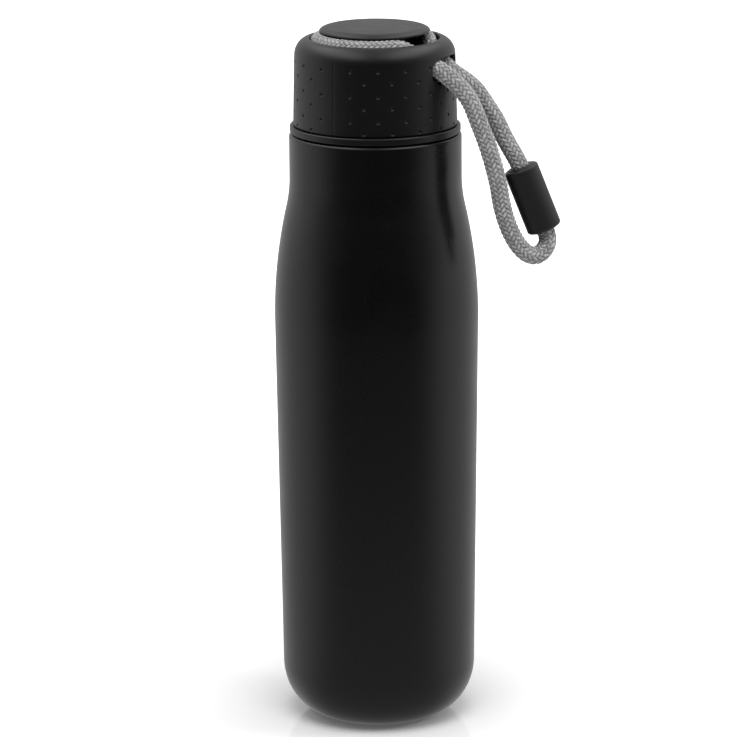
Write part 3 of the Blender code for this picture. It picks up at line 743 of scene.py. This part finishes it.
CONNECTOR_R = 6.2
CONNECTOR_ROUND = 1.1
CONNECTOR_BORE_R = 3.35
END_RING_R = 4.5
END_RING_FOOT_R = 4.7
END_RING_HEIGHT = 0.35
BARREL_COLUMNS = 160
BARREL_SEAM_TURN = 0.6
BARREL_SEAM_HALF = 0.25
BARREL_SEAM_DEPTH = 0.04
CONNECTOR_HALF = 12.2
CONNECTOR_CENTRE = Vector((55.05, -13.0, 191.6))
CONNECTOR_AXIS = Vector((0.364, 0.0, -0.931)).normalized()


def barrel_seams(turn, r, z):
    """Depth of the two fine seams that run down the barrel."""
    off = np.abs((turn - BARREL_SEAM_TURN) % math.pi - math.pi / 2) * CONNECTOR_R
    seam = np.clip(1 - off / BARREL_SEAM_HALF, 0, 1)
    return BARREL_SEAM_DEPTH * seam * (r > CONNECTOR_R - 0.5)


cap_z = CONNECTOR_HALF
face_z = cap_z - END_RING_HEIGHT
barrel_outline = rounded([
    (CONNECTOR_BORE_R, -cap_z, 0.15), (END_RING_R, -cap_z, 0.25), (END_RING_FOOT_R, -face_z, 0.15),
    (CONNECTOR_R, -face_z, CONNECTOR_ROUND), (CONNECTOR_R, face_z, CONNECTOR_ROUND),
    (END_RING_FOOT_R, face_z, 0.15), (END_RING_R, cap_z, 0.25), (CONNECTOR_BORE_R, cap_z, 0.15)], 8)
barrel_turns = np.linspace(0, 2 * math.pi, BARREL_COLUMNS, endpoint=False)
barrel = turned("barrel_connector", barrel_outline, barrel_turns, barrel_seams)
upright = CONNECTOR_AXIS.to_track_quat("Z", "Y").to_matrix().to_4x4()
barrel.data.transform(Matrix.Translation(CONNECTOR_CENTRE * MM) @ upright)
barrel_plastic = moulded_plastic("barrel_plastic", (0.007, 0.007, 0.007), 0.45, 0.006)
belongs(barrel, "strap", "soft_black_plastic", barrel_plastic, "cord_connector")


# ------------------------------------------------------------------ braided cord
# One length of grey polyester cord, 24 plump yarns braided two over two round a core. It runs
# from the barrel up to the slot, round the lid's channel, out of the slot and down to the barrel.

CORD_R = 3.2
YARNS = 12
YARN_PITCH = 1.8
YARN_HEIGHT = 1.02
GROUND_R = CORD_R - 0.69
CORD_COLUMNS = 84
CORD_SPACING = 0.25
CORD_BLUR = 7
SECOND_SET = 500.0
CHANNEL_CORD_R = 19.4
CHANNEL_CORD_Z = 245.6
FRONT_HINGE = (26.9, -17.8, 234.5)
REAR_HINGE = (30.6, -9.8, 233.7)
FRONT_ROUTE = (
    (28.4, -18.35, 233.3), (30.3, -18.9, 231.2), (33.0, -19.6, 227.5), (35.9, -20.3, 220.4),
    (38.9, -20.5, 212.4), (41.2, -20.5, 204.7), (42.9, -20.2, 197.4), (44.1, -19.7, 190.4),
    (46.1, -19.1, 183.4), (49.3, -18.3, 176.7), (53.2, -17.4, 172.4), (56.2, -16.5, 171.6),
    (59.0, -15.2, 173.3), (60.4, -14.0, 176.2),
)
REAR_ROUTE = (
    (32.2, -10.0, 232.6), (35.3, -10.8, 229.8), (39.1, -11.5, 224.3), (42.3, -12.1, 219.2),
    (45.2, -12.6, 213.1), (47.7, -12.9, 208.6),
)
FRONT_DESCENT = ((-38.5, 24.9, 239.4), (-44.0, 21.5, 241.1), (-53.5, 19.1, 244.1))
REAR_DESCENT = ((-15.5, 24.9, 238.6), (-9.0, 21.4, 240.9), (1.0, 19.1, 243.9))


def polar(angle, r, z):
    """Point at an angle about +Z."""
    return (r * math.cos(math.radians(angle)), r * math.sin(math.radians(angle)), z)


def smooth_line(route, spacing, blur):
    """Points at an even spacing on the centripetal Catmull-Rom curve through a route, and its length.

    Each point then becomes the mean of those up to blur places away, fewer near the two ends.
    """
    route = np.array(route, float)
    ends = np.concatenate(([route[0] * 2 - route[1]], route, [route[-1] * 2 - route[-2]]))
    share = np.linspace(0, 1, 24, endpoint=False)[:, None]
    fine = []
    for a, b, c, d in zip(ends, ends[1:], ends[2:], ends[3:]):
        t1 = np.linalg.norm(b - a) ** 0.5
        t2 = t1 + np.linalg.norm(c - b) ** 0.5
        t3 = t2 + np.linalg.norm(d - c) ** 0.5
        t = t1 + (t2 - t1) * share
        ab = a + (b - a) * t / t1
        bc = b + (c - b) * (t - t1) / (t2 - t1)
        cd = c + (d - c) * (t - t2) / (t3 - t2)
        abc = ab + (bc - ab) * t / t2
        bcd = bc + (cd - bc) * (t - t1) / (t3 - t1)
        fine.append(abc + (bcd - abc) * (t - t1) / (t2 - t1))
    fine = np.concatenate(fine + [route[-1:]])
    run = np.concatenate(([0], np.cumsum(np.linalg.norm(np.diff(fine, axis=0), axis=1))))
    even = np.linspace(0, run[-1], max(2, round(run[-1] / spacing)) + 1)
    line = np.stack([np.interp(even, run, fine[:, k]) for k in range(3)], axis=1)
    place = np.arange(len(line))
    window = np.minimum(blur, np.minimum(place, place[::-1]))
    sums = np.concatenate((np.zeros((1, 3)), np.cumsum(line, axis=0)))
    line = (sums[place + window + 1] - sums[place - window]) / (2 * window + 1)[:, None]
    return line, np.linalg.norm(np.diff(line, axis=0), axis=1).sum()


def side_frames(line):
    """Two unit vectors across the line at each of its points, carried along it without twist."""
    ahead = np.gradient(line, axis=0)
    ahead /= np.linalg.norm(ahead, axis=1)[:, None]
    side = np.zeros_like(line)
    side[0] = np.cross(ahead[0], (0, 1, 0))
    for i in range(1, len(line)):
        side[i] = side[i - 1] - ahead[i] * (side[i - 1] @ ahead[i])
        side[i] /= np.linalg.norm(side[i])
    side[0] /= np.linalg.norm(side[0])
    return side, np.cross(ahead, side)


def braid_height(a, b):
    """Height of the braid over its core, and which set of yarns is on top.

    a and b count the yarns of the two sets across. A yarn is domed across, and rises and sinks along
    the other count, over two yarns and under two; each set's wave starts one yarn later per yarn.
    """
    row_a = np.floor(a)
    row_b = np.floor(b)
    dome_a = np.sqrt(1 - 0.92 * (2 * (a - row_a) - 1) ** 2)
    dome_b = np.sqrt(1 - 0.92 * (2 * (b - row_b) - 1) ** 2)
    lift_a = np.cos(0.5 * math.pi * (b + row_a - 1))
    lift_b = np.cos(0.5 * math.pi * (a + row_b - 3))
    height_a = 0.5 * dome_a + 0.24 * lift_a
    height_b = 0.5 * dome_b + 0.24 * lift_b
    return np.maximum(height_a, height_b), height_a > height_b


def behind(hinge, first, back):
    """Point at a distance back from the hinge, in line with the strand's first stretch."""
    along = (Vector(first) - Vector(hinge)).normalized()
    return tuple(Vector(hinge) - along * back)


depths = (0.3, CONNECTOR_HALF - 7.0, CONNECTOR_HALF - 3.0, CONNECTOR_HALF + 1.5)
cord_route = [tuple(CONNECTOR_CENTRE - CONNECTOR_AXIS * depth) for depth in depths]
cord_route += list(REAR_ROUTE[::-1]) + [REAR_HINGE]
cord_route += [behind(REAR_HINGE, REAR_ROUTE[0], 3.6)]
cord_route += [polar(*place) for place in REAR_DESCENT]
cord_route += [polar(angle, CHANNEL_CORD_R, CHANNEL_CORD_Z) for angle in range(24, 295, 15)]
cord_route += [polar(*place) for place in FRONT_DESCENT[::-1]]
cord_route += [behind(FRONT_HINGE, FRONT_ROUTE[0], back) for back in (5.1, 3.6)]
cord_route += [FRONT_HINGE] + list(FRONT_ROUTE)
cord_route += [tuple(CONNECTOR_CENTRE + CONNECTOR_AXIS * depth) for depth in depths[::-1]]

cord_line, cord_length = smooth_line(cord_route, CORD_SPACING, CORD_BLUR)
side, other = side_frames(cord_line)
around = np.arange(CORD_COLUMNS) / CORD_COLUMNS
run = np.linspace(0, cord_length, len(cord_line))[:, None]
braid_a = YARNS * around + run / YARN_PITCH
braid_b = YARNS * around - run / YARN_PITCH
height = braid_height(braid_a, braid_b)[0]
cord_r = GROUND_R + YARN_HEIGHT * height
ring_x = (np.cos(2 * math.pi * around) * cord_r)[..., None] * side[:, None, :]
ring_y = (np.sin(2 * math.pi * around) * cord_r)[..., None] * other[:, None, :]
tube = cord_line[:, None, :] + ring_x + ring_y
ends = np.broadcast_to(cord_line[[0, -1], None, :], (2, CORD_COLUMNS, 3))
tube = np.concatenate((ends[:1], tube, ends[1:]))
tube_ids = np.arange(tube.shape[0] * CORD_COLUMNS).reshape(-1, CORD_COLUMNS)
tube_ids[0] = tube_ids[0, 0]
tube_ids[-1] = tube_ids[-1, 0]
cord = skin("braided_cord", tube, tube_ids, close_rows=False, sharp=180)

# Each face takes the count across and the count along the yarn that is on top at its middle. The
# second set's yarns are numbered from SECOND_SET, so that they get tones of their own.
steps_round = np.arange(CORD_COLUMNS)[None, :, None] + np.array((0, 1, 1, 0))
steps_along = np.arange(len(cord_line) - 1)[:, None, None] + np.array((0, 0, 1, 1))
corner_run = steps_along * cord_length / (len(cord_line) - 1)
corner_a = YARNS * steps_round / CORD_COLUMNS + corner_run / YARN_PITCH
corner_b = YARNS * steps_round / CORD_COLUMNS - corner_run / YARN_PITCH
on_top = braid_height(corner_a.mean(axis=2), corner_b.mean(axis=2))[1][..., None]
yarn_uv = np.zeros((len(cord.data.loops), 2))
across_yarn = np.where(on_top, corner_a, corner_b + SECOND_SET)
along_yarn = np.where(on_top, corner_b, corner_a)
faces_uv = np.stack((across_yarn, along_yarn), axis=-1)
yarn_uv[:faces_uv.size // 2] = faces_uv.reshape(-1, 2)
cord.data.uv_layers.new(name="yarn").data.foreach_set("uv", yarn_uv.ravel())
# The braid's height at each point. The cloth uses it to paint shade into the gaps between yarns and a
# highlight on their tops.
level = cord.data.attributes.new("level", "FLOAT", "POINT")
level.data.foreach_set("value", np.concatenate(([0], height.ravel(), [0])))


def braid_cloth():
    """Grey polyester braid: each yarn has its own tone and fine filaments, with painted shade in the
    gaps and a painted highlight on the yarn tops.
    """
    made, tree, shader = finish("grey_braid", (0.2, 0.2, 0.2), 0.85)
    shader.inputs["Sheen Weight"].default_value = 0.25
    shader.inputs["Sheen Roughness"].default_value = 0.5
    shader.inputs["Specular IOR Level"].default_value = 0.25
    yarn = node(tree, "ShaderNodeUVMap", uv_map="yarn").outputs["UV"]
    split = node(tree, "ShaderNodeSeparateXYZ", {"Vector": yarn})
    number = node(tree, "ShaderNodeMath", {0: split.outputs["X"]}, operation="FLOOR").outputs[0]
    tone = node(tree, "ShaderNodeTexWhiteNoise", {"W": number}, noise_dimensions="1D").outputs["Value"]
    threads = node(tree, "ShaderNodeMapping", {"Vector": yarn, "Scale": (14, 1.6, 1)}).outputs["Vector"]
    hairs = grain(tree, threads, 1.0, 3)
    depth = node(tree, "ShaderNodeAttribute", attribute_name="level").outputs["Fac"]
    # Painted shade and highlight: the colour falls to 0.15 times in the gaps between yarns and rises to
    # 1.25 times on the yarn tops.
    sockets = {"Value": depth, "From Min": 0.3, "From Max": 0.68, "To Min": 0.15, "To Max": 1.25}
    painted_shade_and_highlight = node(tree, "ShaderNodeMapRange", sockets).outputs["Result"]
    sockets = {"Value": tone, "To Min": 0.14, "To Max": 0.21}
    base = node(tree, "ShaderNodeMapRange", sockets).outputs["Result"]
    fine = spread(tree, hairs, 0.55, 1.4)
    mixed = node(tree, "ShaderNodeMath", {0: base, 1: fine}, operation="MULTIPLY").outputs[0]
    final = node(tree, "ShaderNodeMath", {0: mixed, 1: painted_shade_and_highlight}, operation="MULTIPLY").outputs[0]
    tree.links.new(final, shader.inputs["Base Color"])
    relief(tree, shader, (hairs, 0.05))
    return made


cord.data.materials.append(braid_cloth())
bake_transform(cord)
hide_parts("cord_wrap", "cord_front_strand", "cord_rear_strand")


# ------------------------------------------------------------------ studio
# A glossy white table that glows with painted light, from almost none at the flask to white far
# out, a round light overhead, a smaller one at the right, and pale surroundings that are darker in
# front of the flask. The table's own brightness is kept out of the flask's reflections, and a plane
# under it stands in for what they show of the table.

TABLE_R = 6.0
CARD_Z = -0.001
LAMP_Z = 2.2
LAMP_AHEAD = 0.9
LAMP_SIZE = 1.4
LAMP_WATTS = 58.0
SIDE_PLACE = (1.6, -0.2, 0.95)
SIDE_SIZE = 0.6
SIDE_WATTS = 13.0
CAMERA_PLACE = (-0.00304, -1.5045, 0.498)
CAMERA_PITCH = 76.153
CAMERA_ROLL = -0.436
CAMERA_LENS = 211.6


def disc(name, r, z):
    """Flat round plane facing up, r metres in radius at height z."""
    turn = np.linspace(0, 2 * math.pi, 96, endpoint=False)
    rim = np.stack((r * np.cos(turn), r * np.sin(turn), np.full(96, z)), axis=1)
    mesh = bpy.data.meshes.new(name)
    mesh.from_pydata(rim.tolist(), [], [list(range(96))])
    made = bpy.data.objects.new(name, mesh)
    bpy.context.scene.collection.objects.link(made)
    return made


def curve_of(tree, value, stops):
    """Grey value read off a line through (position, grey) stops."""
    ramp = node(tree, "ShaderNodeValToRGB", {"Fac": value})
    points = ramp.color_ramp.elements
    while len(points) < len(stops):
        points.new(1.0)
    for point, (position, grey) in zip(points, stops):
        point.position = position
        point.color = (grey, grey, grey, 1.0)
    return ramp.outputs["Color"]


table = disc("table", TABLE_R, 0.0)
table.visible_glossy = False
table_white, tree, shader = finish("white_acrylic", (0.46, 0.46, 0.46), 0.04)
shader.inputs["IOR"].default_value = 1.45
shader.inputs["Emission Strength"].default_value = 1.0
# Painted light: the table glows by itself, faintly at the flask and fully white far out.
place = node(tree, "ShaderNodeTexCoord").outputs["Object"]
reach = node(tree, "ShaderNodeVectorMath", {0: place}, operation="LENGTH").outputs["Value"]
painted_table_glow = curve_of(tree, reach, ((0.0, 0.04), (0.03, 0.1), (0.06, 0.25), (0.15, 0.6), (0.6, 1.0)))
tree.links.new(painted_table_glow, shader.inputs["Emission Color"])
table.data.materials.append(table_white)

card = disc("reflection_card", TABLE_R, CARD_Z)
card.visible_camera = False
card.visible_diffuse = False
card.visible_shadow = False
card.visible_transmission = False
card_glow, tree, shader = finish("reflection_card", (0.0, 0.0, 0.0), 1.0)
shader.inputs["Specular IOR Level"].default_value = 0.0
shader.inputs["Emission Strength"].default_value = 1.0
place = node(tree, "ShaderNodeTexCoord").outputs["Object"]
reach = node(tree, "ShaderNodeVectorMath", {0: place}, operation="LENGTH").outputs["Value"]
heading = node(tree, "ShaderNodeVectorMath", {0: place}, operation="NORMALIZE").outputs["Vector"]
facing = node(tree, "ShaderNodeSeparateXYZ", {"Vector": heading}).outputs["Y"]
front = curve_of(tree, reach, ((0.0, 0.38), (0.2, 0.27), (0.45, 0.14), (0.72, 0.03), (1.0, 0.015)))
aside = node(tree, "ShaderNodeMapRange", {"Value": facing, "From Min": -0.8, "From Max": 0.0},
             interpolation_type="SMOOTHSTEP").outputs["Result"]
both = node(tree, "ShaderNodeMix", {"Factor": aside, "A": front, "B": (0.62, 0.62, 0.62, 1.0)},
            data_type="RGBA")
tree.links.new(both.outputs["Result"], shader.inputs["Emission Color"])
card.data.materials.append(card_glow)


def soft_light(name, place, size, watts):
    """Round area light that points at the bottle's lip and isn't seen in reflections."""
    data = bpy.data.lights.new(name, "AREA")
    data.shape = "DISK"
    data.size = size
    data.energy = watts
    made = bpy.data.objects.new(name, data)
    made.location = place
    away = Vector(place) - Vector((0, 0, LIP_Z * MM))
    made.rotation_euler = away.to_track_quat("Z", "Y").to_euler()
    made.visible_glossy = False
    bpy.context.scene.collection.objects.link(made)


soft_light("overhead_light", (0.0, -LAMP_AHEAD, LAMP_Z), LAMP_SIZE, LAMP_WATTS)
soft_light("side_light", SIDE_PLACE, SIDE_SIZE, SIDE_WATTS)

world = bpy.data.worlds.new("studio")
world.use_nodes = True
bpy.context.scene.world = world
tree = world.node_tree
around_it = node(tree, "ShaderNodeTexCoord").outputs["Generated"]
split = node(tree, "ShaderNodeSeparateXYZ", {"Vector": around_it})
sockets = {"Value": split.outputs["Y"], "From Min": -1.0}
share = node(tree, "ShaderNodeMapRange", sockets).outputs["Result"]
level_glow = curve_of(tree, share, (
    (0.0, 0.015), (0.09, 0.03), (0.18, 0.08), (0.29, 0.20), (0.43, 0.46), (0.51, 0.60), (0.6, 0.68),
    (0.7, 0.74), (1.0, 0.58)))
sockets = {"Value": split.outputs["Z"], "From Min": 0.3, "From Max": 0.85}
lift = node(tree, "ShaderNodeMapRange", sockets, interpolation_type="SMOOTHSTEP").outputs["Result"]
pale = node(tree, "ShaderNodeMix", {"Factor": lift, "A": level_glow, "B": (0.45, 0.45, 0.45, 1.0)},
            data_type="RGBA").outputs["Result"]
aside = node(tree, "ShaderNodeMath", {0: split.outputs["X"]}, operation="ABSOLUTE").outputs[0]
beside = node(tree, "ShaderNodeMapRange", {"Value": aside, "From Min": 0.12, "From Max": 0.4},
              interpolation_type="SMOOTHSTEP").outputs["Result"]
sockets = {"Value": split.outputs["Z"], "From Min": 0.45, "From Max": 0.75, "To Max": 1.7}
above = node(tree, "ShaderNodeMapRange", sockets, interpolation_type="SMOOTHSTEP").outputs["Result"]
boxes = node(tree, "ShaderNodeMath", {0: beside, 1: above}, operation="MULTIPLY").outputs[0]
lit = node(tree, "ShaderNodeVectorMath", {0: pale, 1: boxes}, operation="ADD").outputs["Vector"]
seen = node(tree, "ShaderNodeLightPath").outputs["Is Camera Ray"]
sky = node(tree, "ShaderNodeMix", {"Factor": seen, "A": lit, "B": (1.0, 1.0, 1.0, 1.0)},
           data_type="RGBA")
tree.links.new(sky.outputs["Result"], tree.nodes["Background"].inputs["Color"])

camera_data = bpy.data.cameras.new("camera")
camera_data.lens = CAMERA_LENS
camera_data.sensor_width = 36.0
camera = bpy.data.objects.new("camera", camera_data)
camera.matrix_world = (Matrix.Translation(CAMERA_PLACE)
                       @ Matrix.Rotation(math.radians(CAMERA_PITCH), 4, "X")
                       @ Matrix.Rotation(math.radians(CAMERA_ROLL), 4, "Z"))
bpy.context.scene.collection.objects.link(camera)
bpy.context.scene.camera = camera
bpy.context.scene.view_settings.view_transform = "Standard"
